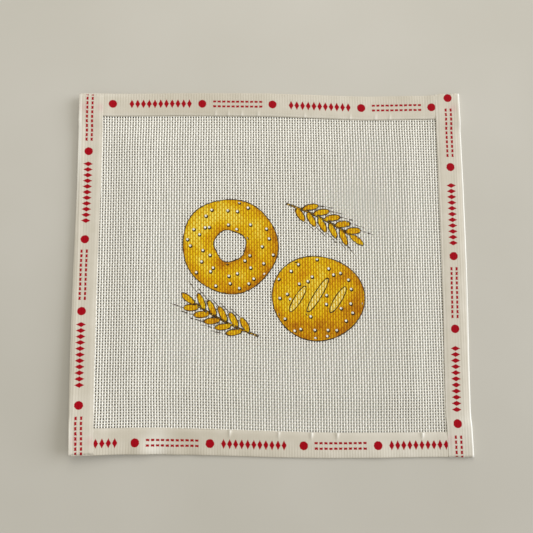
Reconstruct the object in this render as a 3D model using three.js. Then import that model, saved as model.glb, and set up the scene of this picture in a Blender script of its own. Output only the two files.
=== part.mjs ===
// A needlework canvas whose four cut edges are bound in cloth tape.
// Each tape is one straight strip folded over the edge, with a front flap and a back flap.
// The side tapes went on last, so they lie over the top and bottom tapes at the corners.
// Millimetres, +Z up out of the painted face, +X to the right and +Y to the top of the picture.
import * as THREE from 'three';

// The bound canvas, measured between the folds of opposite tapes.
const WIDTH = 205.5;
const HEIGHT = 190;

// The canvas is a mesh of round threads; the solid has the thickness of two crossed threads.
const CANVAS_THICK = 0.7;

// The binding tape, an inch wide before it is folded.
const TAPE_WIDE = 25.4;
const TAPE_THICK = 0.25;
const LAYER_GAP = 0.05;
const END_GAP = 1.2;

// A folded tape stands this high, and its fold is a half circle.
const FOLDED = CANVAS_THICK + 2 * (TAPE_THICK + LAYER_GAP);
const FOLD_RADIUS = FOLDED / 2;
const FOLD_STEPS = 6;

// At a corner the side tape covers the other one, so the layers step up just before it.
const LAYER = TAPE_THICK + LAYER_GAP;
const STEP_X = [84, 88];
const STEP_Y = [76, 80];

// The four folds don't cross at right angles: this is where they cross on the real piece.
const CROSS = {
  bottomLeft: [-98.6, -95],
  bottomRight: [105.9, -97.2],
  topRight: [104.6, 93.5],
  topLeft: [-101.2, 93.2],
};
const TOP_WAVE = 0.45;
const BOTTOM_WAVE = 1.0;

// The left edge curls up off the table, most at the bottom corner.
const LIFT = 5.5;
const LIFT_FROM_X = -40;

// Inside the tapes the starched mesh stands this far off the table, within this band of depths.
const RISE = 1.5;
const RISE_BAND = [14, 32];

// Largest spacing of the vertices, along X where the curl needs it, and along Y.
const SPACING_X = 6;
const SPACING_Y = 10;

// The tapes in the order of a walk round the canvas with its middle on the left hand.
// front: width of the front flap at the start and at the end of the walk.
// over: how far each end runs past the neighbour's fold.
// flapSteps: how many pieces each flap is split into across its width, where the sheet curls.
// bow: how far the strip lies outside its straight line, in even steps from left to right or from
// bottom to top.
const INSIDE = [-END_GAP, -END_GAP];
const TAPES = [
  {
    name: 'tape_bottom', start: [-1, -1], along: [1, 0], front: [13.5, 12.3], over: INSIDE, flapSteps: 1,
    bow: [0.9, 1.35, 1.7, 1.5, 1.2, 0.8, 0.45, 0.5, 0.4],
  },
  {
    name: 'tape_right', start: [1, -1], along: [0, 1], front: [13.2, 13.4], over: [0.2, 1.1], flapSteps: 1,
    bow: [0, -0.4, -0.1, 0.4, 0.75, 0.85, 0.8, 0.6, 0.2],
  },
  {
    name: 'tape_top', start: [1, 1], along: [-1, 0], front: [13.6, 12.8], over: INSIDE, flapSteps: 1,
    bow: [0.5, 1.1, 1.4, 1.3, 1.35, 0.75, 0.2, 0.7, 0.7],
  },
  {
    name: 'tape_left', start: [-1, 1], along: [0, -1], front: [13.0, 12.2], over: [-0.3, 0.3], flapSteps: 3,
    bow: [0.2, 1.2, 1.6, 1.6, 1.45, 1.0, 0.6, 0.35, 0],
  },
];

const CANVAS_COLOUR = 0xdcd8c8;
const TAPE_COLOUR = 0xd2c6ae;

function ramp(value, from, to) {
  return THREE.MathUtils.clamp((value - from) / (to - from), 0, 1);
}

// The value of a table of even steps at a share of its length.
function fromTable(table, share) {
  const at = THREE.MathUtils.clamp(share, 0, 1) * (table.length - 1);
  const step = Math.min(Math.floor(at), table.length - 2);
  return THREE.MathUtils.lerp(table[step], table[step + 1], at - step);
}

// How far the sheet has curled up above the table at a place on the flat rectangle.
function curl(x, y) {
  const across = ramp(x, LIFT_FROM_X, -WIDTH / 2);
  const down = 0.5 - y / HEIGHT;
  return LIFT * (1.595 * down ** 2 - 1.045 * down + 0.45) * across ** 2;
}

// How far the mesh inside the tapes stands above the height that the tapes hold it at.
function rise(x, y) {
  const inX = ramp(WIDTH / 2 - Math.abs(x), ...RISE_BAND);
  const inY = ramp(HEIGHT / 2 - Math.abs(y), ...RISE_BAND);
  return RISE * THREE.MathUtils.smoothstep(inX, 0, 1) * THREE.MathUtils.smoothstep(inY, 0, 1);
}

// Moves a point of the flat rectangle to its place on the real, slightly skewed and wavy piece.
function place(x, y, z) {
  const u = x / WIDTH + 0.5;
  const v = y / HEIGHT + 0.5;
  const mix = (k) => (1 - v) * ((1 - u) * CROSS.bottomLeft[k] + u * CROSS.bottomRight[k])
    + v * ((1 - u) * CROSS.topLeft[k] + u * CROSS.topRight[k]);
  const inside = 1 - (2 * u - 1) ** 4;
  const topWave = TOP_WAVE * Math.cos(2 * Math.PI * (u - 0.38)) * inside;
  const bottomWave = -BOTTOM_WAVE * Math.sin(2 * Math.PI * (u - 0.43)) * inside;
  return [mix(0), mix(1) + v * topWave + (1 - v) * bottomWave, z + curl(x, y)];
}

// Lines from low to high that pass through every fixed place, spaced evenly between them.
function gridLines(low, high, fixed, spacing) {
  const ends = [low, ...fixed, high];
  const lines = [low];
  for (let i = 1; i < ends.length; i += 1) {
    const span = ends[i] - ends[i - 1];
    const count = Math.ceil(span / spacing);
    for (let k = 1; k <= count; k += 1) {
      lines.push(ends[i - 1] + (span * k) / count);
    }
  }
  return lines;
}

function linesAlongX(low, high) {
  const [from, to] = STEP_X;
  return gridLines(low, high, [-to, -from, LIFT_FROM_X, from, to], SPACING_X);
}

function linesAlongY(low, high) {
  const [from, to] = STEP_Y;
  return gridLines(low, high, [-to, -from, from, to], SPACING_Y);
}

function moveVertices(geometry, move) {
  const position = geometry.attributes.position;
  for (let i = 0; i < position.count; i += 1) {
    position.setXYZ(i, ...move(position.getX(i), position.getY(i), position.getZ(i)));
  }
  geometry.computeVertexNormals();
  return geometry;
}

function cloth(name, geometry, color) {
  const material = new THREE.MeshStandardMaterial({ color, roughness: 0.9, metalness: 0 });
  const mesh = new THREE.Mesh(geometry, material);
  mesh.name = name;
  return mesh;
}

// The mesh canvas, as one sheet that runs into the folds of the tapes.
function canvas() {
  const columns = linesAlongX(-WIDTH / 2 + END_GAP, WIDTH / 2 - END_GAP);
  const rows = linesAlongY(-HEIGHT / 2 + END_GAP, HEIGHT / 2 - END_GAP);
  const nx = columns.length - 1;
  const ny = rows.length - 1;
  const geometry = new THREE.BoxGeometry(nx, ny, CANVAS_THICK, nx, ny, 1);
  moveVertices(geometry, (i, j, z) => {
    const x = columns[Math.round(i + nx / 2)];
    const y = rows[Math.round(j + ny / 2)];
    const step = LAYER * ramp(Math.abs(x), ...STEP_X) * ramp(Math.abs(y), ...STEP_Y);
    return place(x, y, z + FOLD_RADIUS + step + rise(x, y));
  });
  return cloth('canvas', geometry, CANVAS_COLOUR);
}

// The section of a folded tape: x runs inwards from the outside of the fold, and y is the height.
function foldedSection(flap, flapSteps) {
  const points = [];
  const line = (fromX, toX, y) => {
    for (let k = 0; k <= flapSteps; k += 1) {
      points.push(new THREE.Vector2(fromX + ((toX - fromX) * k) / flapSteps, y));
    }
  };
  const arc = (radius, fromTop) => {
    for (let k = 1; k < FOLD_STEPS; k += 1) {
      const turn = (Math.PI * k) / FOLD_STEPS;
      const angle = fromTop ? Math.PI / 2 + turn : (3 * Math.PI) / 2 - turn;
      const x = FOLD_RADIUS + radius * Math.cos(angle);
      points.push(new THREE.Vector2(x, FOLD_RADIUS + radius * Math.sin(angle)));
    }
  };
  line(flap, FOLD_RADIUS, FOLDED);
  arc(FOLD_RADIUS, true);
  line(FOLD_RADIUS, flap, 0);
  line(flap, FOLD_RADIUS, TAPE_THICK);
  arc(FOLD_RADIUS - TAPE_THICK, false);
  line(FOLD_RADIUS, flap, FOLDED - TAPE_THICK);
  return new THREE.Shape(points);
}

// One strip of tape folded over one edge of the canvas.
function tape({ name, start, along, front, over, flapSteps, bow }) {
  const isSide = along[0] === 0;
  const length = isSide ? HEIGHT : WIDTH;
  const low = -length / 2 - over[0];
  const high = length / 2 + over[1];
  const stations = isSide ? linesAlongY(low, high) : linesAlongX(low, high);
  const count = stations.length - 1;
  const flap = TAPE_WIDE / 2;
  const foldLength = Math.PI * (FOLD_RADIUS - TAPE_THICK / 2);
  const bothFlaps = TAPE_WIDE - foldLength + 2 * FOLD_RADIUS;
  const geometry = new THREE.ExtrudeGeometry(foldedSection(flap, flapSteps), {
    depth: count,
    steps: count,
    bevelEnabled: false,
  });
  moveVertices(geometry, (inwards, height, index) => {
    const station = stations[Math.round(index)];
    const walked = (along[0] + along[1]) * station;
    const frontWidth = THREE.MathUtils.lerp(...front, (station - low) / (high - low));
    const width = height > FOLD_RADIUS ? frontWidth : bothFlaps - frontWidth;
    const onFlap = Math.max(inwards - FOLD_RADIUS, 0) / (flap - FOLD_RADIUS);
    const depth = Math.min(inwards, FOLD_RADIUS) + onFlap * (width - FOLD_RADIUS);
    const outwards = fromTable(bow, walked / length + 0.5) - depth;
    const x = isSide ? start[0] * (WIDTH / 2 + outwards) : walked;
    const y = isSide ? walked : start[1] * (HEIGHT / 2 + outwards);
    const upper = ramp(height, TAPE_THICK, FOLDED - TAPE_THICK);
    const step = isSide ? 2 * upper * ramp(Math.abs(y), ...STEP_Y) : ramp(Math.abs(x), ...STEP_X);
    return place(x, y, height + LAYER * step);
  });
  return cloth(name, geometry, TAPE_COLOUR);
}

const group = new THREE.Group();
group.add(canvas());
for (const strip of TAPES) {
  group.add(tape(strip));
}

// The origin is under the middle of the piece, on the table.
const extent = new THREE.Box3().setFromObject(group);
const middle = extent.getCenter(new THREE.Vector3());
group.position.set(-middle.x, -middle.y, -extent.min.z);

export default group;
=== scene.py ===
import math
import bmesh
import bpy
import numpy as np
from mathutils import Matrix, Vector


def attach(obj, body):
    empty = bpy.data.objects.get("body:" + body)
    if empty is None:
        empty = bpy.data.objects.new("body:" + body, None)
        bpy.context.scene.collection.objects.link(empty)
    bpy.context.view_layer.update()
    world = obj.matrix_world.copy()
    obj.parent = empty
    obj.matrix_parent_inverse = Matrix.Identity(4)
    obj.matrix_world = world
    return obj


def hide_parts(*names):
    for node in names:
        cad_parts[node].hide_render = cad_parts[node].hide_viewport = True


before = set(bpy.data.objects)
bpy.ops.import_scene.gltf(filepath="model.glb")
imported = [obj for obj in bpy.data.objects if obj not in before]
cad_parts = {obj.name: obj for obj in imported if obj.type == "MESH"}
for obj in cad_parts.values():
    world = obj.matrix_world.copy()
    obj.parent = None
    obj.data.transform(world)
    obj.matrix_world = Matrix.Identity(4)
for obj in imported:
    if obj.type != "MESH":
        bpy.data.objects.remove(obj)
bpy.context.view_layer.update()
scene = bpy.context.scene

# Camera: a phone held over the near half of the work, looking down and tipped a little forward.
MM = 0.001
CAMERA_PLACE = (-3.07, -26.52, 280.9)
CAMERA_TURN = [math.radians(angle) for angle in (5.73, -0.16, 0.07)]
CAMERA_SENSOR = 36
CAMERA_LENS = 36
CAMERA_NEAR = 0.01
camera_data = bpy.data.cameras.new("camera")
camera_data.sensor_width = CAMERA_SENSOR
camera_data.lens = CAMERA_LENS
camera_data.clip_start = CAMERA_NEAR
camera = bpy.data.objects.new("camera", camera_data)
camera.location = [place * MM for place in CAMERA_PLACE]
camera.rotation_euler = CAMERA_TURN
scene.collection.objects.link(camera)
scene.camera = camera
scene.view_settings.view_transform = "Standard"


# Light: a far window low on the right, a wide pale ceiling lamp beyond the top edge, and the room.
def linear(hex_colour):
    """An sRGB colour such as "E8E4DA" as linear red, green, blue and alpha."""
    parts = [int(hex_colour[k:k + 2], 16) / 255 for k in (0, 2, 4)]
    return [c / 12.92 if c < 0.04045 else ((c + 0.055) / 1.055) ** 2.4 for c in parts] + [1.0]


WINDOW_FROM_TABLE = math.radians(24)
WINDOW_TURN = math.radians(10)
WINDOW_WIDE = math.radians(38)
WINDOW_STRENGTH = 2.35
CEILING_PLACE = (0.05, 0.5, 0.6)
CEILING_SIZE = 0.5
CEILING_WATTS = 2.0
ROOM_STRENGTH = 0.525
window_data = bpy.data.lights.new("window", "SUN")
window_data.angle = WINDOW_WIDE
window_data.energy = WINDOW_STRENGTH
window_data.color = linear("F2F6FF")[:3]
window = bpy.data.objects.new("window", window_data)
window.rotation_euler = (0, math.pi / 2 - WINDOW_FROM_TABLE, WINDOW_TURN)
scene.collection.objects.link(window)

ceiling_data = bpy.data.lights.new("ceiling", "AREA")
ceiling_data.shape = "SQUARE"
ceiling_data.size = CEILING_SIZE
ceiling_data.energy = CEILING_WATTS
ceiling_data.color = linear("FFFDF8")[:3]
ceiling = bpy.data.objects.new("ceiling", ceiling_data)
ceiling.location = CEILING_PLACE
ceiling.rotation_euler = Vector(CEILING_PLACE).to_track_quat("Z", "Y").to_euler()
scene.collection.objects.link(ceiling)

room = bpy.data.worlds.new("room")
room.use_nodes = True
room.node_tree.nodes["Background"].inputs["Color"].default_value = linear("FBF8EE")
room.node_tree.nodes["Background"].inputs["Strength"].default_value = ROOM_STRENGTH
scene.world = room


# Table: a pale, smooth laminate top that fills the view. It is the ground, not part of the piece.
def add(tree, kind, *sources, **settings):
    """Adds a node, sets its settings, feeds its sockets in order and gives back its first output."""
    made = tree.nodes.new("ShaderNode" + kind)
    for name, value in settings.items():
        setattr(made, name, value)
    for socket, source in zip([s for s in made.inputs if s.enabled], sources):
        if isinstance(source, bpy.types.NodeSocket):
            tree.links.new(source, socket)
        elif source is not None:
            socket.default_value = source
    return next(s for s in made.outputs if s.enabled)


def new_material(name):
    """A new material; gives back it, its node tree and its shader."""
    material = bpy.data.materials.new(name)
    material.use_nodes = True
    tree = material.node_tree
    return material, tree, tree.nodes["Principled BSDF"]


CLOUDS_PER_METRE = 9.0
TABLE_HALF = 1.6


def laminate():
    """Printed laminate: a nearly flat warm grey with a faint cloudiness and a soft satin shine."""
    material, tree, shader = new_material("table_laminate")
    place = add(tree, "TexCoord").node.outputs["Object"]
    cloud = add(tree, "TexNoise", place, CLOUDS_PER_METRE, 3.0)
    tone = add(tree, "MapRange", cloud, 0.35, 0.65)
    colour = add(tree, "Mix", tone, linear("BEBAAF"), linear("C3BFB5"), data_type="RGBA")
    tree.links.new(colour, shader.inputs["Base Color"])
    shader.inputs["Roughness"].default_value = 0.6
    return material


table_mesh = bmesh.new()
bmesh.ops.create_grid(table_mesh, x_segments=1, y_segments=1, size=TABLE_HALF)
table_data = bpy.data.meshes.new("table")
table_mesh.to_mesh(table_data)
table_mesh.free()
table = bpy.data.objects.new("table", table_data)
table_data.materials.append(laminate())
scene.collection.objects.link(table)

# Canvas: starched cotton mesh, 18 threads to the inch, one thread over and one under both ways.
# It is cut square and lies nearly flat. Inside the tapes it stands a little off the table, and its
# left edge curls up. The uprights run nearly straight and the levels bend round them.
WIDTH = 205.5
HEIGHT = 190.0
LAYER = 0.3
MIDDLE_HIGH = 0.65
STEP_X = (84, 88)
STEP_Y = (76, 80)
LIFT = 5.5
LIFT_FROM_X = -40
LIFT_DOWN = (1.595, -1.045, 0.45)
RISE = 1.5
RISE_BAND = (14, 32)
BOTTOM_LEFT, BOTTOM_RIGHT = (-100.926, -93.47), (103.574, -95.67)
TOP_LEFT, TOP_RIGHT = (-103.526, 94.73), (102.274, 95.03)
TOP_WAVE, TOP_WAVE_AT = 0.45, 0.38
BOTTOM_WAVE, BOTTOM_WAVE_AT = 1.0, 0.43


def ramp(value, start, end):
    return np.clip((value - start) / (end - start), 0, 1)


def smooth(value, start, end):
    part = ramp(value, start, end)
    return part * part * (3 - 2 * part)


def curl(x, y):
    """How far the sheet has curled up off the table at a place on the flat rectangle. The lift
    of the left edge follows a parabola on its way down."""
    across = ramp(x, LIFT_FROM_X, -WIDTH / 2)
    down = 0.5 - y / HEIGHT
    square, slope, level = LIFT_DOWN
    return LIFT * (square * down ** 2 + slope * down + level) * across ** 2


def rise(x, y):
    """How far the mesh inside the tapes stands above the height that the tapes hold it at."""
    return RISE * smooth(WIDTH / 2 - abs(x), *RISE_BAND) * smooth(HEIGHT / 2 - abs(y), *RISE_BAND)


def placed(x, y, z):
    """Places on the flat rectangle, in mm, moved to the real, slightly skewed piece, in metres."""
    u, v = x / WIDTH + 0.5, y / HEIGHT + 0.5
    mixed = [(1 - v) * ((1 - u) * BOTTOM_LEFT[k] + u * BOTTOM_RIGHT[k])
             + v * ((1 - u) * TOP_LEFT[k] + u * TOP_RIGHT[k]) for k in (0, 1)]
    inside = 1 - (2 * u - 1) ** 4
    top_wave = TOP_WAVE * np.cos(2 * np.pi * (u - TOP_WAVE_AT)) * inside
    bottom_wave = -BOTTOM_WAVE * np.sin(2 * np.pi * (u - BOTTOM_WAVE_AT)) * inside
    return MM * np.stack([mixed[0], mixed[1] + v * top_wave + (1 - v) * bottom_wave, z + curl(x, y)], 1)


PITCH = 25.4 / 18
SIDES = 6
UPRIGHTS = 66
LEVELS = 60
UPRIGHT_WIDE, UPRIGHT_HIGH, UPRIGHT_BEND = 0.76, 0.36, 0.08
LEVEL_WIDE, LEVEL_HIGH, LEVEL_BEND = 0.59, 0.28, 0.18

# No thread is quite even. Each has its own thickness, and it sways and swells in two waves:
# how much, the length of the wave over 2 pi, and how many times its own random start.
DRAWS = 400
THICK_SPREAD = 0.04
SWAYS = ((0.04, 6.1, 1), (0.03, 2.3, 2))
SLUBS = ((0.05, 3.7, 1), (0.04, 0.9, 3))
YARN_APART = 3
MAP_SHARE, MAP_UNDERSIDE = 0.495, 0.505


def run_of_threads(name, numbers, crossings, wide):
    """Straight round threads side by side along X, each up local Z, with two rings to a crossing."""
    threads = bmesh.new()
    length = crossings * PITCH
    bmesh.ops.create_cone(threads, cap_ends=True, segments=SIDES, radius1=wide / 2, radius2=wide / 2,
                          depth=length, matrix=Matrix.Rotation(math.pi / SIDES, 4, "Z"))
    long_edges = [e for e in threads.edges if e.calc_length() > length / 2]
    bmesh.ops.subdivide_edges(threads, edges=long_edges, cuts=2 * crossings - 1)
    bmesh.ops.translate(threads, verts=threads.verts, vec=(numbers[0] * PITCH, 0, 0))
    first = threads.verts[:] + threads.edges[:] + threads.faces[:]
    for step in range(1, len(numbers)):
        copy = bmesh.ops.duplicate(threads, geom=first)["geom"]
        copied = [v for v in copy if isinstance(v, bmesh.types.BMVert)]
        bmesh.ops.translate(threads, verts=copied, vec=(step * PITCH, 0, 0))
    mesh = bpy.data.meshes.new(name)
    threads.to_mesh(mesh)
    threads.free()
    mesh.shade_smooth()
    return mesh


def vertices_of(mesh):
    place = np.empty(len(mesh.vertices) * 3)
    mesh.vertices.foreach_get("co", place)
    return place.reshape(-1, 3)


def set_vertices(mesh, place):
    mesh.vertices.foreach_set("co", place.astype(np.float32).ravel())
    mesh.update()


def keep(mesh, name, values):
    """Stores one number, or one vector, for each vertex, for the material to read."""
    kind, field = ("FLOAT", "value") if values.ndim == 1 else ("FLOAT_VECTOR", "vector")
    stored = mesh.attributes.new(name, kind, "POINT")
    stored.data.foreach_set(field, values.astype(np.float32).ravel())


def woven(mesh, is_upright, seed):
    """Bends straight threads over and under the crossing ones, and gives back their flat places."""
    local = vertices_of(mesh)
    wide, high, bend = ((UPRIGHT_WIDE, UPRIGHT_HIGH, UPRIGHT_BEND) if is_upright
                        else (LEVEL_WIDE, LEVEL_HIGH, LEVEL_BEND))
    number = np.round(local[:, 0] / PITCH)
    draw = number.astype(int) + DRAWS // 2
    chance = np.random.default_rng(seed)
    thick = chance.normal(1.0, THICK_SPREAD, DRAWS)[draw]
    start = chance.uniform(0, 2 * np.pi, DRAWS)[draw]
    along = local[:, 2]
    sway = sum(much * np.sin(along / long + times * start) for much, long, times in SWAYS)
    slub = thick * sum((much * np.sin(along / long + times * start) for much, long, times in SLUBS), 1)
    across = number * PITCH + (local[:, 0] - number * PITCH) * slub + sway
    over = bend * np.cos(np.pi * (along / PITCH + number))
    round_part = local[:, 1] * high / wide * slub
    yarn = (local[:, 0] - number * PITCH) + YARN_APART * number
    keep(mesh, "yarn", np.stack([yarn, along, 0 * along], 1))
    if is_upright:
        return across, along, over - round_part
    return along, across, round_part - over


def own_map(mesh, flat, above):
    """A map of the sheet from above, with the faces under the threads beside those on top."""
    low, high = flat.min(0), flat.max(0)
    share = (flat - low) / (high - low)
    corner = np.empty(len(mesh.loops), int)
    mesh.loops.foreach_get("vertex_index", corner)
    sides = np.empty(len(mesh.polygons), int)
    mesh.polygons.foreach_get("loop_total", sides)
    facing = np.empty(len(mesh.polygons) * 3)
    mesh.polygons.foreach_get("normal", facing)
    upper = np.repeat(facing.reshape(-1, 3)[:, 2] > 0, sides)
    place = share[corner]
    split = 0 if high[0] - low[0] < high[1] - low[1] else 1
    place[:, split] = place[:, split] * MAP_SHARE + np.where(upper, 0.0, MAP_UNDERSIDE)
    layer = mesh.uv_layers.new(name="OFBake")
    layer.data.foreach_set("uv", place.astype(np.float32).ravel())


# Painted motif: a seeded ring roll, a scored round roll and two ears of grain, brushed on with
# thinned acrylic in yellows and ambers inside a fine dark brown line. Sizes are in mm.
MOTIF_MIDDLE = np.array([0.6, -0.1])
RING_MIDDLE, RING_RADIUS, RING_HALF = np.array([-22.5, 12.0]), 16.8, 8.4
ROUND_MIDDLE, ROUND_RADII = np.array([23.5, -14.5]), np.array([24.3, 22.0])
CENTRE_WANDER, RING_WANDER, ROUND_WANDER = (0.35, 3, 0.6), (0.3, 5, 2.0), (0.4, 3, 1.0)
SCORES, SCORE_HIGH, SCORE_ARCH = (-10.5, 0.0, 10.5), 1.5, 0.02
SCORE_RADII, SCORE_SHORTER, SCORE_TILT = (10.5, 1.9), 0.25, math.radians(58)
EAR_STEM, EAR_TILT = np.array([-6.0, -36.0]), math.radians(153.4)
GRAIN_RADII, GRAIN_TILT = np.array([4.2, 1.6]), math.radians(35)
GRAIN_PAIRS = 5
GRAIN_START, GRAIN_STEP, GRAIN_STAGGER, GRAIN_OUT, TIP_BACK = 12.5, 6.4, 1.6, 3.0, 1.2
STEM_MIDDLE, STEM_HALF, STEM_THIN, STEM_ARCH, STEM_DROP = 22, 20, 0.4, 0.004, 1.5
AWN = 7.5
FAR = 99.0

# How dark the paint was laid: darkest at the rims, lighter on the crowns, the left and the top.
RIM_DARK, CROWN_LIGHTER, GRAIN_DARK = 0.7, 0.6, 0.5
RIGHT_DARKER, TOP_LIGHTER, ROLL_REACH = 0.2, 0.26, 24


def from_oval(place, middle, radii, turn=0.0):
    """Distance from an oval's edge, less than nothing inside."""
    c, s = math.cos(turn), math.sin(turn)
    place = (place - middle) @ np.array([[c, -s], [s, c]])
    reach = np.linalg.norm(place / radii, axis=1)
    slope = np.linalg.norm(place / radii ** 2, axis=1)
    return reach * (reach - 1) / np.maximum(slope, 1e-6)


def wander(angle, much, waves, turn):
    """How far a hand-drawn round outline strays."""
    return much * np.sin(waves * angle + turn)


def from_rolls(place):
    """Distance from the edge of each roll, with the slight wander of a brush."""
    ring = place - RING_MIDDLE
    angle = np.arctan2(ring[:, 1], ring[:, 0])
    radius = np.linalg.norm(ring, axis=1) - RING_RADIUS - wander(angle, *CENTRE_WANDER)
    ring_edge = np.abs(radius) - RING_HALF - wander(angle, *RING_WANDER)
    away = place - ROUND_MIDDLE
    angle = np.arctan2(away[:, 1], away[:, 0])
    round_edge = from_oval(place, ROUND_MIDDLE, ROUND_RADII) - wander(angle, *ROUND_WANDER)
    return ring_edge, round_edge


def from_scores(place):
    """Distance from the nearest of the cuts across the round roll."""
    edge = np.full(len(place), FAR)
    for offset in SCORES:
        middle = ROUND_MIDDLE + np.array([offset, SCORE_HIGH - SCORE_ARCH * offset ** 2])
        radii = np.array([SCORE_RADII[0] - SCORE_SHORTER * abs(offset), SCORE_RADII[1]])
        edge = np.minimum(edge, from_oval(place, middle, radii, SCORE_TILT))
    return edge


def from_awn(place, start, turn):
    """Distance from a thin bristle that leaves its grain at start."""
    way = np.array([math.cos(turn), math.sin(turn)])
    reach = np.clip((place - start) @ way, 0, AWN)
    return np.linalg.norm(place - start - reach[:, None] * way, axis=1)


def from_ear(place):
    """Distance from the nearest grain of the ear, which stands on its stem along local X."""
    c, s = math.cos(EAR_TILT), math.sin(EAR_TILT)
    local = (place - EAR_STEM) @ np.array([[c, -s], [s, c]])
    local[:, 1] += STEM_ARCH * (local[:, 0] - STEM_MIDDLE) ** 2 - STEM_DROP
    tip = np.array([GRAIN_START + GRAIN_PAIRS * GRAIN_STEP - TIP_BACK, 0.0])
    edge = from_oval(local, tip, GRAIN_RADII)
    awns = np.full(len(place), FAR)
    for pair in range(GRAIN_PAIRS):
        for side in (-1, 1):
            turn = side * GRAIN_TILT
            middle = np.array([GRAIN_START + pair * GRAIN_STEP + side * GRAIN_STAGGER, side * GRAIN_OUT])
            edge = np.minimum(edge, from_oval(local, middle, GRAIN_RADII, turn))
            end = middle + GRAIN_RADII[0] * np.array([math.cos(turn), math.sin(turn)])
            awns = np.minimum(awns, from_awn(local, end, 0.5 * turn))
    stem = np.maximum(np.abs(local[:, 1]) - STEM_THIN, np.abs(local[:, 0] - STEM_MIDDLE) - STEM_HALF)
    return np.minimum(edge, stem), awns


def brushed(place):
    """The motif as the distances from its edges, and how dark the paint was laid."""
    place = place - MOTIF_MIDDLE
    ring_edge, round_edge = from_rolls(place)
    rolls = np.minimum(ring_edge, round_edge)
    scores = from_scores(place)
    one, other = from_ear(place), from_ear(-place)
    ears, awns = np.minimum(one[0], other[0]), np.minimum(one[1], other[1])
    depth = np.where(ring_edge < round_edge, -ring_edge / RING_HALF, -round_edge / ROUND_RADII[1])
    centre = np.where((ring_edge < round_edge)[:, None], RING_MIDDLE, ROUND_MIDDLE)
    away = (place - centre) / ROLL_REACH
    dark = RIM_DARK - CROWN_LIGHTER * np.clip(depth, 0, 1)
    dark = dark + RIGHT_DARKER * away[:, 0] - TOP_LIGHTER * away[:, 1]
    dark = np.where(rolls < ears, dark, GRAIN_DARK)
    return {"rolls": rolls, "scores": scores, "ears": ears, "awns": awns, "dark": dark}


# The washes lie in patches of about 11 mm, the line swells every 3 mm or so, and the seeds are
# about 7 mm apart. Scales are per mm, and the edges of seeds are shares of the seeds' spacing.
WASH_SCALE, LINE_SCALE, SEED_SCALE = 0.09, 0.35, 0.15
NOISE_SPAN = (0.3, 0.7)
WASH_SPREAD = 0.42
LINE_HALVES, LINE_SOFT, EDGE_SOFT = (0.16, 0.34), 0.06, 0.1
SEED_EDGE, SEED_SHADOW_EDGE, SEED_SHADOW_SHIFT = (0.1, 0.078), (0.165, 0.14), (-0.2, 0.35, 0.0)
SEED_SCATTER = 0.9


def acrylic(tree, flat, raw, pool_and_shade):
    """The brushed paint over the raw colour: washes of yellow and amber, lines and seeds. The last
    argument is the colour that the wash is multiplied by: deeper where the paint pooled, and
    painted shade on the level threads and the film that lie down in the gaps."""
    rolls, scores, ears, awns, dark = (
        add(tree, "Attribute", attribute_name=name).node.outputs["Fac"]
        for name in ("rolls", "scores", "ears", "awns", "dark"))

    # Washes: pale yellow thinned paint with amber brushed over it in soft patches.
    patch = add(tree, "TexNoise", flat, WASH_SCALE, 3.0, 0.6)
    patch = add(tree, "MapRange", patch, *NOISE_SPAN, -WASH_SPREAD, WASH_SPREAD)
    tone = add(tree, "Math", dark, patch, operation="ADD")
    wash = add(tree, "ValToRGB", tone)
    colours = wash.node.color_ramp
    colours.elements[0].position, colours.elements[0].color = 0.0, linear("F9E45C")
    colours.elements[1].position, colours.elements[1].color = 1.0, linear("C48600")
    colours.elements.new(0.3).color = linear("EECC12")
    colours.elements.new(0.68).color = linear("E2B000")
    in_score = add(tree, "MapRange", scores, 0.15, -0.15)
    paint = add(tree, "Mix", in_score, wash, linear("F9E88E"), data_type="RGBA")
    # Painted shade: this multiply darkens the wash on the level threads and the film, partly for pooled
    # paint and partly for the shade of the gaps.
    paint = add(tree, "Mix", 1.0, paint, linear(pool_and_shade), data_type="RGBA", blend_type="MULTIPLY")

    # Line: a fine brush line along every edge, a little thick and thin.
    edge = awns
    for shape in (rolls, scores, ears):
        shape = add(tree, "Math", shape, operation="ABSOLUTE")
        edge = add(tree, "Math", edge, shape, operation="MINIMUM")
    half_line = add(tree, "MapRange", add(tree, "TexNoise", flat, LINE_SCALE, 1.0),
                    *NOISE_SPAN, *LINE_HALVES)
    line = add(tree, "Math", half_line, edge, operation="SUBTRACT")
    line = add(tree, "MapRange", line, -LINE_SOFT, LINE_SOFT)

    # Seeds: white dots scattered on the rolls, each in a dark ring that is thickest below it.
    below = add(tree, "VectorMath", flat, SEED_SHADOW_SHIFT, operation="ADD")
    seed, shadow = (add(tree, "TexVoronoi", place, SEED_SCALE, voronoi_dimensions="2D")
                    for place in (flat, below))
    for cells in (seed, shadow):
        cells.node.inputs["Randomness"].default_value = SEED_SCATTER
    on_roll = add(tree, "MapRange", rolls, -1.0, -1.2)
    off_score = add(tree, "MapRange", scores, 0.9, 1.1)
    seeded = add(tree, "Math", on_roll, off_score, operation="MULTIPLY")
    seed = add(tree, "Math", add(tree, "MapRange", seed, *SEED_EDGE), seeded, operation="MULTIPLY")
    shadow = add(tree, "Math", add(tree, "MapRange", shadow, *SEED_SHADOW_EDGE), seeded,
                 operation="MULTIPLY")

    filled = add(tree, "Math", rolls, ears, operation="MINIMUM")
    filled = add(tree, "MapRange", filled, EDGE_SOFT, -EDGE_SOFT)
    colour = add(tree, "Mix", filled, raw, paint, data_type="RGBA")
    colour = add(tree, "Mix", shadow, colour, linear("33260A"), data_type="RGBA")
    colour = add(tree, "Mix", seed, colour, linear("FAF7EE"), data_type="RGBA")
    return add(tree, "Mix", line, colour, linear("3E2A0C"), data_type="RGBA")


# The plies of a thread cross it every 0.7 mm, and its strands vary over about 1 mm. Painted shade
# darkens the sides and underside to this share, and this much of the paint has soaked through to the
# underside.
TWIST_SCALE, TWIST_DEEP, STRAND_SCALE = 0.9, 0.06, 0.9
SIDE_PAINTED_SHADE, UNDERSIDE_PAINT = 0.52, 0.35


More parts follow.
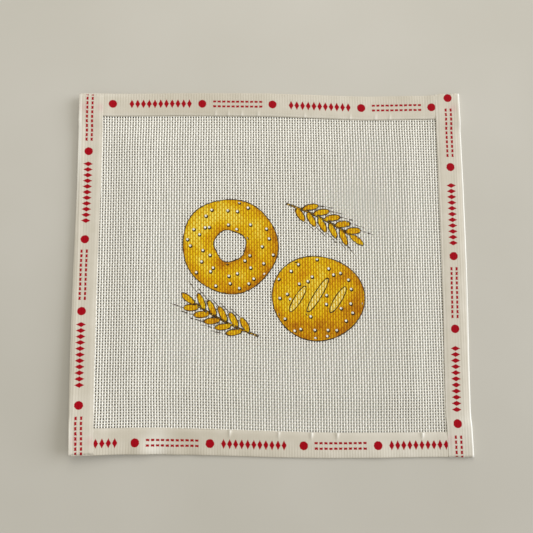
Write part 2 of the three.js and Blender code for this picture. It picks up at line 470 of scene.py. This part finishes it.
def painted_cotton(name, creamy, white, pool_and_shade):
    """Cotton thread, starched: off-white, matt, with the twist of its plies, and painted shade
    on its sides and underside. The thinned paint soaks into the top of each thread and shows paler on the
    back."""
    material, tree, shader = new_material(name)
    flat = add(tree, "Attribute", attribute_name="flat").node.outputs["Vector"]
    strand = add(tree, "MapRange", add(tree, "TexNoise", flat, STRAND_SCALE, 2.0), *NOISE_SPAN)
    raw = add(tree, "Mix", strand, linear(creamy), linear(white), data_type="RGBA")
    colour = acrylic(tree, flat, raw, pool_and_shade)
    up = add(tree, "SeparateXYZ", add(tree, "TexCoord").node.outputs["Normal"]).node.outputs["Z"]
    top_side = add(tree, "MapRange", up, -0.1, 0.1, UNDERSIDE_PAINT, 1.0)
    colour = add(tree, "Mix", top_side, raw, colour, data_type="RGBA")
    # Painted shade: the sides and underside of each thread are darkened by how far they face away from up.
    side = add(tree, "MapRange", up, 0.0, 0.9, SIDE_PAINTED_SHADE, 1.0)
    colour = add(tree, "Mix", 1.0, colour, side, data_type="RGBA", blend_type="MULTIPLY")
    tree.links.new(colour, shader.inputs["Base Color"])
    yarn = add(tree, "Attribute", attribute_name="yarn").node.outputs["Vector"]
    twist = add(tree, "TexWave", yarn, TWIST_SCALE, 0.4, bands_direction="DIAGONAL")
    tree.links.new(add(tree, "Bump", 0.35, TWIST_DEEP * MM, None, twist), shader.inputs["Normal"])
    shader.inputs["Roughness"].default_value = 0.62
    shader.inputs["Specular IOR Level"].default_value = 0.15
    return material


# Painted shade: both runs are the same cotton, but the levels get darker creams and a deeper amber that
# stand in for the shade they lie in between the uprights.
upright_cotton = painted_cotton("upright_cotton_thread", "FAF6EC", "FFFEF6", "FFFFFF")
shaded_level_cotton = painted_cotton("level_cotton_thread", "E2DDCE", "EEE9DC", "E4CA54")


def canvas_part(name, first, last, crossings, is_upright, seed):
    numbers = range(first, last + 1)
    wide = UPRIGHT_WIDE if is_upright else LEVEL_WIDE
    mesh = run_of_threads(name, numbers, crossings, wide)
    x, y, z = woven(mesh, is_upright, seed)
    step = LAYER * ramp(abs(x), *STEP_X) * ramp(abs(y), *STEP_Y)
    set_vertices(mesh, placed(x, y, z + MIDDLE_HIGH + step + rise(x, y)))
    flat = np.stack([x, y], 1)
    keep(mesh, "flat", np.stack([x, y, np.zeros(len(x))], 1))
    for field, values in brushed(flat).items():
        keep(mesh, field, values)
    own_map(mesh, flat, z)
    mesh.materials.append(upright_cotton if is_upright else shaded_level_cotton)
    piece = bpy.data.objects.new(name, mesh)
    scene.collection.objects.link(piece)
    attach(piece, "root")
    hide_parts("canvas")
    return piece


canvas_pieces = [
    canvas_part("uprights_left", -UPRIGHTS, -1, 2 * LEVELS + 1, True, 11),
    canvas_part("uprights_right", 0, UPRIGHTS, 2 * LEVELS + 1, True, 12),
    canvas_part("levels_lower", -LEVELS, -1, 2 * UPRIGHTS + 1, False, 13),
    canvas_part("levels_upper", 0, LEVELS, 2 * UPRIGHTS + 1, False, 14),
]

# Paint film: where the rolls and ears are painted, the acrylic has dried across the small gaps
# of the mesh as thin amber windows.
FILM_CELLS = (72, 56)
FILM_THICK = 0.08
FILM_BELOW = 0.04
FILM_INSIDE = 0.1


def shaded_dried_film():
    """Dried acrylic seen in the gaps: the same washes, deeper in colour, partly as painted shade of the
    gaps it lies in.
    """
    material, tree, shader = new_material("dried_acrylic_film")
    flat = add(tree, "Attribute", attribute_name="flat").node.outputs["Vector"]
    # Painted shade: the film's cream and amber are darker than the threads' for the shade of the gaps.
    tree.links.new(acrylic(tree, flat, linear("C9A45A"), "DAB840"), shader.inputs["Base Color"])
    shader.inputs["Roughness"].default_value = 0.6
    shader.inputs["Specular IOR Level"].default_value = 0.1
    return material


film_mesh = bmesh.new()
film_size = Matrix.Diagonal((FILM_CELLS[0] * PITCH, FILM_CELLS[1] * PITCH, 1, 1))
bmesh.ops.create_grid(film_mesh, x_segments=FILM_CELLS[0], y_segments=FILM_CELLS[1], size=0.5,
                      matrix=film_size)
middles = np.array([face.calc_center_median()[:2] for face in film_mesh.faces])
painted = brushed(middles)
bare = np.minimum(painted["rolls"], painted["ears"]) > -FILM_INSIDE
bare_cells = [cell for cell, is_bare in zip(film_mesh.faces[:], bare) if is_bare]
bmesh.ops.delete(film_mesh, geom=bare_cells, context="FACES")
film_data = bpy.data.meshes.new("paint_film")
film_mesh.to_mesh(film_data)
film_mesh.free()
film_flat = vertices_of(film_data)
keep(film_data, "flat", film_flat)
for field, values in brushed(film_flat[:, :2]).items():
    keep(film_data, field, values)
film_high = MIDDLE_HIGH - FILM_BELOW + rise(film_flat[:, 0], film_flat[:, 1])
set_vertices(film_data, placed(film_flat[:, 0], film_flat[:, 1], film_high))
film_data.materials.append(shaded_dried_film())
film = bpy.data.objects.new("paint_film", film_data)
film_wall = film.modifiers.new("wall", "SOLIDIFY")
film_wall.thickness = FILM_THICK * MM
film_wall.offset = 0
scene.collection.objects.link(film)
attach(film, "root")
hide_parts("canvas")

# Binding: four strips of inch-wide cotton tape, each folded over a cut edge and glued down. The
# side strips went on last, over the ends of the others. The upright threads show through as ribs,
# and the front carries a printed row of red discs, lozenges and dashes.
TAPE_WIDE = 25.4
TAPE_THICK = 0.2
FOLDED = 1.3
FOLD_RADIUS = FOLDED / 2
FOLD_LENGTH = math.pi * (FOLD_RADIUS - TAPE_THICK / 2)

# Relief in mm. The ribs are strongest near the fold. Slow cockles and a finer crinkle run over
# the flap, the inner edge is pressed down, and beside the fold a strip is full or pinched.
# Bands are the distances, from the fold or from the inner edge, between which a thing fades in.
# Pleats and bulges have a place along the walk and a height, bulges also a width between them.
RIB_HIGH, RIB_INNER, RIB_BACK, RIB_BAND = 0.09, 0.25, 0.4, (9, 3)
COCKLE, COCKLE_OVER = 0.07, (5.3, 4.1, 23)
CRINKLE, CRINKLE_OVER, CRINKLE_BAND = 0.05, (2.1, 3.0), (8, 1)
PRESSED, PRESSED_BAND = 0.3, (2.2, 0)
BEAD, PINCH_BAND = (2.2, 1.3), (4, 0.6)
SELVEDGE_HIGH, SELVEDGE = 0.12, (0.4, 0.3)
END_WAVERS, END_BAND = ((0.18, 0.9, 1), (0.08, 3.1, 0)), (3, 1)
PLEAT_WIDE, PLEAT_SLANT, PLEAT_HIGHLIGHT, PLEAT_BAND = 0.7, 0.12, 0.5, (4.2, 0.5)
BULGE_BAND = (10, 2)
PLEATS = {
    "tape_bottom": [(-22.2, 0.7), (2.9, 0.6), (19.8, 0.9), (33.1, 0.8), (76.8, 0.9)],
    "tape_top": [(place, 0.3) for place in (-64.8, -57, -43.3, -18.6, 6.6, 15.5, 22.8, 29.7)],
}
SWELLS = {
    "tape_bottom": (0.15, 0.1), "tape_right": (-0.5, -0.5),
    "tape_top": (-0.2, -0.1), "tape_left": (0.4, 0.15),
}
BULGES = [(-68, 5, 1.2), (-36, 5, 0.5), (-50, 4, 0.4), (52, 7, 0.5)]

# Colour of the cloth: soft spots where it is greyer, and soft spots of painted highlight, with their
# middle, width and strength, how strong the painted highlight is along the fold and the inner edge,
# and ghosts of the print.
GREY_SPOTS = [(-55, -92, 34, 0.36), (-40, 90, 45, 0.3), (-5, -92, 18, 0.14), (-100, 10, 60, 0.14),
        (-102, -50, 14, 0.2), (70, 96, 12, 0.26), (102, 70, 16, 0.12)]
HIGHLIGHT_SPOTS = [(-60, -91, 7, 0.4), (68, -92, 30, 0.1), (104, -82, 9, 0.25)]
FOLD_AND_EDGE_HIGHLIGHT = {
    "tape_bottom": (0, 0.05), "tape_right": (0.85, 0.12),
    "tape_top": (0, 0.12), "tape_left": (0.15, 0.06),
}
HIGHLIGHT_AT_FOLD, HIGHLIGHT_AT_EDGE, HIGHLIGHT_BESIDE_FOLD = (0.3, 0.55), (0.7, 0.7), (1.2, 0.7)
FOLD_HIGHLIGHT_SPOTS = [(-102, 68, 22, 0.7), (-100, -86, 7, 0.35)]
GHOST_WIDE, GHOST_MUCH = 5.0 ** 0.5, 0.55
GHOSTS = [(-99.8, 87.4), (-91.4, 87.6), (-100.2, -88.3), (-92.5, -89.1), (99.1, 87.9), (90.4, -86.8)]

# Print: one repeat holds a disc, a block of lozenges, a disc and two lines of dashes.
PERIOD, SECOND_DISC, DISC_RADIUS = 86.2, 48.1, 2.2
BLOCK_MIDDLE, BLOCK_HALF, LOZENGE_STEP, LOZENGE_HIGH = 25.6, 17.0, 3.1, 2.45
DASHES_MIDDLE, DASHES_HALF, DASH_STEP, DASH_HALF = 67.3, 13.6, 2.5, 0.85
DASH_ROW, DASH_HIGH = 1.35, 0.55
WRAP_BACK, LOZENGE_FLANK, LOZENGE_SLOPE = 5.0, 0.42, 0.55
INK_SPREAD, INK_BLEED = 0.12, 0.12
UNPRINTED_BACK = 9
WEAVE_SCALE, WEAVE_DEEP = 0.63, 0.05


def printed_tape():
    """Cotton twill tape, plain weave: cream, matt, a little uneven. The red is screen printed, so
    it sits on the threads and lets some of them through."""
    material, tree, shader = new_material("printed_cotton_tape")
    flat = add(tree, "Attribute", attribute_name="flat").node.outputs["Vector"]
    print_at = add(tree, "Attribute", attribute_name="print_at").node.outputs["Vector"]
    print_at = add(tree, "SeparateXYZ", print_at)
    beside = add(tree, "Math", print_at.node.outputs["Y"], operation="ABSOLUTE")
    along = add(tree, "Math", print_at.node.outputs["X"], PERIOD - WRAP_BACK, -WRAP_BACK,
                operation="WRAP")

    def less(value, amount):
        return add(tree, "Math", value, amount, operation="SUBTRACT")

    def apart(value, middle):
        return add(tree, "Math", less(value, middle), operation="ABSOLUTE")

    # Discs, one at each end of the lozenges.
    disc = less(apart(along, SECOND_DISC / 2), SECOND_DISC / 2)
    disc = add(tree, "Math", add(tree, "Math", disc, disc, operation="MULTIPLY"),
               add(tree, "Math", beside, beside, operation="MULTIPLY"), operation="ADD")
    disc = less(add(tree, "Math", disc, operation="SQRT"), DISC_RADIUS)

    # Lozenges in one row.
    lozenge = add(tree, "Math", apart(along, BLOCK_MIDDLE), LOZENGE_STEP / 2, operation="PINGPONG")
    lozenge = add(tree, "Math", lozenge, LOZENGE_HIGH / (LOZENGE_STEP * LOZENGE_FLANK), beside,
                  operation="MULTIPLY_ADD")
    lozenge = add(tree, "Math", less(lozenge, LOZENGE_HIGH), LOZENGE_SLOPE, operation="MULTIPLY")
    block = less(apart(along, BLOCK_MIDDLE), BLOCK_HALF)
    lozenge = add(tree, "Math", lozenge, block, operation="MAXIMUM")

    # Two lines of dashes.
    dash = add(tree, "Math", apart(along, DASHES_MIDDLE), DASH_STEP / 2, operation="PINGPONG")
    dash = less(dash, DASH_HALF)
    for edge in (less(apart(beside, DASH_ROW), DASH_HIGH), less(apart(along, DASHES_MIDDLE), DASHES_HALF)):
        dash = add(tree, "Math", dash, edge, operation="MAXIMUM")

    # Ink: its edges bleed a little, unevenly, every 0.6 mm or so.
    mark = add(tree, "Math", disc, lozenge, operation="MINIMUM")
    mark = add(tree, "Math", mark, dash, operation="MINIMUM")
    bleed = add(tree, "MapRange", add(tree, "TexNoise", flat, 1.6, 2.0),
                *NOISE_SPAN, -INK_BLEED, INK_BLEED)
    mark = add(tree, "Math", mark, bleed, operation="ADD")
    inked = add(tree, "MapRange", mark, INK_SPREAD, -INK_SPREAD)

    # Cloth: cream with faint patches of about 8 mm, pink where the print below shows through at
    # a corner, greyer in soft spots, and whitened along folds, edges and creases as painted highlight.
    # The ink is speckled at about 0.3 mm.
    patch = add(tree, "MapRange", add(tree, "TexNoise", flat, 0.12, 3.0), *NOISE_SPAN)
    cloth = add(tree, "Mix", patch, linear("CBC4B4"), linear("D3CCBE"), data_type="RGBA")
    for name, tint in (("ghost", "CEACA7"), ("grey_spots", "AAA08A"), ("painted_highlight", "FFFEF8")):
        amount = add(tree, "Attribute", attribute_name=name).node.outputs["Fac"]
        cloth = add(tree, "Mix", amount, cloth, linear(tint), data_type="RGBA")
    speckle = add(tree, "MapRange", add(tree, "TexNoise", flat, 3.0, 2.0), 0.35, 0.65)
    ink = add(tree, "Mix", speckle, linear("93000A"), linear("A6041C"), data_type="RGBA")
    tree.links.new(add(tree, "Mix", inked, cloth, ink, data_type="RGBA"), shader.inputs["Base Color"])

    # Weave: two crossed waves, drawn at 0.5 mm, coarser than the real 0.3 mm, so that they show.
    weave = add(tree, "Math", add(tree, "TexWave", flat, WEAVE_SCALE, bands_direction="X"),
                add(tree, "TexWave", flat, WEAVE_SCALE, bands_direction="Y"), operation="MULTIPLY")
    tree.links.new(add(tree, "Bump", 0.3, WEAVE_DEEP * MM, None, weave), shader.inputs["Normal"])
    shader.inputs["Roughness"].default_value = 0.6
    shader.inputs["Specular IOR Level"].default_value = 0.08
    return material


tape_cotton = printed_tape()


def around(value, middle, wide):
    """One at the middle, fading to nothing over about twice the width on both sides."""
    return np.exp(-((value - middle) / wide) ** 2)


def spots(x, y, places):
    """How strongly soft round spots cover each place: their middle, width and strength."""
    return sum(much * np.exp(-((x - at_x) ** 2 + (y - at_y) ** 2) / wide ** 2)
               for at_x, at_y, wide, much in places)


def tape(name, start, along, front, over, bow, row, first_disc, cells, folds):
    """One strip, walked with the middle of the canvas on the left hand. front: the width of the
    front flap at both ends. over: how far it runs past the folds of its neighbours. bow: how far
    it lies outside its straight line, in even steps from left to right or from bottom to top.
    row: how far the printed row is from the fold at both ends. first_disc: where on the walk's
    axis it starts. folds: the shares of the cells at which the fold begins and ends."""
    is_side = along[0] == 0
    half = (HEIGHT if is_side else WIDTH) / 2
    low, high = -half - over[0], half + over[1]
    strip = bmesh.new()
    bmesh.ops.create_grid(strip, x_segments=cells[0], y_segments=cells[1], size=0.5)
    mesh = bpy.data.meshes.new(name)
    strip.to_mesh(mesh)
    strip.free()
    mesh.shade_smooth()
    local = vertices_of(mesh) + 0.5
    station = low + (high - low) * local[:, 0]
    share = 1 - local[:, 1]

    # Across the strip: down the front flap to the fold, round it, and back along the back flap.
    width = front[0] + (front[1] - front[0]) * local[:, 0]
    front_part = width - FOLD_RADIUS
    back_part = TAPE_WIDE - FOLD_LENGTH - front_part
    on_front = front_part * (1 - ramp(share, 0, folds[0]))
    on_back = back_part * ramp(share, folds[1], 1)
    turn = np.pi * ramp(share, *folds)
    depth = FOLD_RADIUS * (1 - np.sin(turn)) + on_front + on_back
    height = FOLD_RADIUS * (1 + np.cos(turn))

    # Cut ends waver a little.
    near_end = smooth(abs(station), half - END_BAND[0], half + END_BAND[1])
    station = station + near_end * sum(much * np.sin(depth * waves + times * first_disc)
                                       for much, waves, times in END_WAVERS)
    walked = (along[0] + along[1]) * station
    bowed = np.interp(walked / (2 * half) + 0.5, np.linspace(0, 1, len(bow)), bow)
    x = start[0] * (WIDTH / 2 + bowed - depth) if is_side else walked
    y = walked if is_side else start[1] * (HEIGHT / 2 + bowed - depth)

    # Relief: ribs over the upright threads, slow cockles, the swell or the pinch beside the fold,
    # small pleats, the bulges of the bottom strip and the selvedge of the side strips.
    is_front = 0.5 + 0.5 * np.cos(turn)
    outer = RIB_INNER + (1 - RIB_INNER) * smooth(depth, *RIB_BAND)
    rib = 0.5 * (1 - np.cos(2 * np.pi * x / PITCH)) * RIB_HIGH * outer
    long, wide, drift = COCKLE_OVER
    cockle = COCKLE * (1 + np.sin(station / long + first_disc) * np.sin(depth / wide + station / drift))
    long, wide = CRINKLE_OVER
    cockle += CRINKLE * (1 + np.sin(station / long + depth / wide)) * smooth(depth, *CRINKLE_BAND)
    inner = width - depth
    pressed = PRESSED * smooth(inner, *PRESSED_BAND)
    relief = is_front * (cockle - rib - pressed) + (1 - is_front) * RIB_BACK * rib
    swell = SWELLS[name][0] + (SWELLS[name][1] - SWELLS[name][0]) * local[:, 0]
    beside_fold = np.where(swell > 0, around(depth, *BEAD), smooth(depth, *PINCH_BAND))
    overlap = ramp(abs(y), *STEP_Y) if is_side else ramp(abs(x), *STEP_X)
    relief += is_front * (1 - overlap) * swell * beside_fold
    # Painted highlight: whiter cloth along the fold, along the inner edge, in soft spots and on the pleat
    # crests, where these catch the light.
    painted_highlight = FOLD_AND_EDGE_HIGHLIGHT[name][0] * around(depth, *HIGHLIGHT_AT_FOLD)
    painted_highlight += is_front * FOLD_AND_EDGE_HIGHLIGHT[name][1] * around(inner, *HIGHLIGHT_AT_EDGE)
    painted_highlight += is_front * spots(x, y, HIGHLIGHT_SPOTS)
    painted_highlight += is_front * spots(x, y, FOLD_HIGHLIGHT_SPOTS) * around(depth, *HIGHLIGHT_BESIDE_FOLD)
    for place, tall in PLEATS.get(name, []):
        slanted = station + PLEAT_SLANT * inner
        crest = is_front * tall * around(slanted, place, PLEAT_WIDE) * smooth(inner, *PLEAT_BAND)
        relief += crest
        painted_highlight += PLEAT_HIGHLIGHT * crest
    if name == "tape_bottom":
        for place, wide, tall in BULGES:
            relief += is_front * tall * around(station, place, wide) * smooth(depth, *BULGE_BAND)
    if is_side:
        relief += is_front * SELVEDGE_HIGH * around(inner, *SELVEDGE)
    step = 2 * overlap * ramp(height, TAPE_THICK, FOLDED - TAPE_THICK) if is_side else overlap
    set_vertices(mesh, placed(x, y, height + LAYER * step + relief))

    # The print runs the other way round the canvas, at its own distance from the fold.
    line = row[0] + (row[1] - row[0]) * local[:, 0]
    beside = on_front + FOLD_RADIUS - line - UNPRINTED_BACK * (turn > 0)
    keep(mesh, "print_at", np.stack([-station - first_disc, beside, 0 * x], 1))
    keep(mesh, "flat", np.stack([station, on_front - on_back - 0.5 * turn, 0 * x], 1))
    ghost = spots(x, y, [(*place, GHOST_WIDE, GHOST_MUCH) for place in GHOSTS])
    keep(mesh, "ghost", ghost * is_front * is_side)
    # Greyer cloth in soft spots on the front.
    keep(mesh, "grey_spots", is_front * spots(x, y, GREY_SPOTS))
    keep(mesh, "painted_highlight", painted_highlight)
    layer = mesh.uv_layers.new(name="OFBake")
    corner = np.empty(len(mesh.loops), int)
    mesh.loops.foreach_get("vertex_index", corner)
    layer.data.foreach_set("uv", local[corner, :2].astype(np.float32).ravel())
    mesh.materials.append(tape_cotton)
    piece = bpy.data.objects.new(name + "_strip", mesh)
    wall = piece.modifiers.new("wall", "SOLIDIFY")
    wall.thickness = TAPE_THICK * MM
    wall.offset = -1
    scene.collection.objects.link(piece)
    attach(piece, "root")
    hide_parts(name)


LEVEL_CELLS, LEVEL_FOLDS = (870, 40), (0.36, 0.64)
SIDE_CELLS, SIDE_FOLDS = (160, 108), (0.47, 0.58)
INSIDE = (-1.2, -1.2)
tape("tape_bottom", (-1, -1), (1, 0), (13.5, 12.3), INSIDE,
     (0.9, 1.35, 1.7, 1.5, 1.2, 0.8, 0.45, 0.5, 0.4), (5.9, 6.3), -15.6, LEVEL_CELLS, LEVEL_FOLDS)
tape("tape_right", (1, -1), (0, 1), (13.2, 13.4), (0.2, 1.1),
     (0, -0.4, -0.1, 0.4, 0.75, 0.85, 0.8, 0.6, 0.2), (7.7, 6.5), 30.6, SIDE_CELLS, SIDE_FOLDS)
tape("tape_top", (1, 1), (-1, 0), (13.6, 12.8), INSIDE,
     (0.5, 1.1, 1.4, 1.3, 1.35, 0.75, 0.2, 0.7, 0.7), (7.0, 5.9), 1.4, LEVEL_CELLS, LEVEL_FOLDS)
tape("tape_left", (-1, 1), (0, -1), (13.0, 12.2), (-0.3, 0.3),
     (0.2, 1.2, 1.6, 1.6, 1.45, 1.0, 0.6, 0.35, 0), (6.1, 4.9), 15.2, SIDE_CELLS, SIDE_FOLDS)
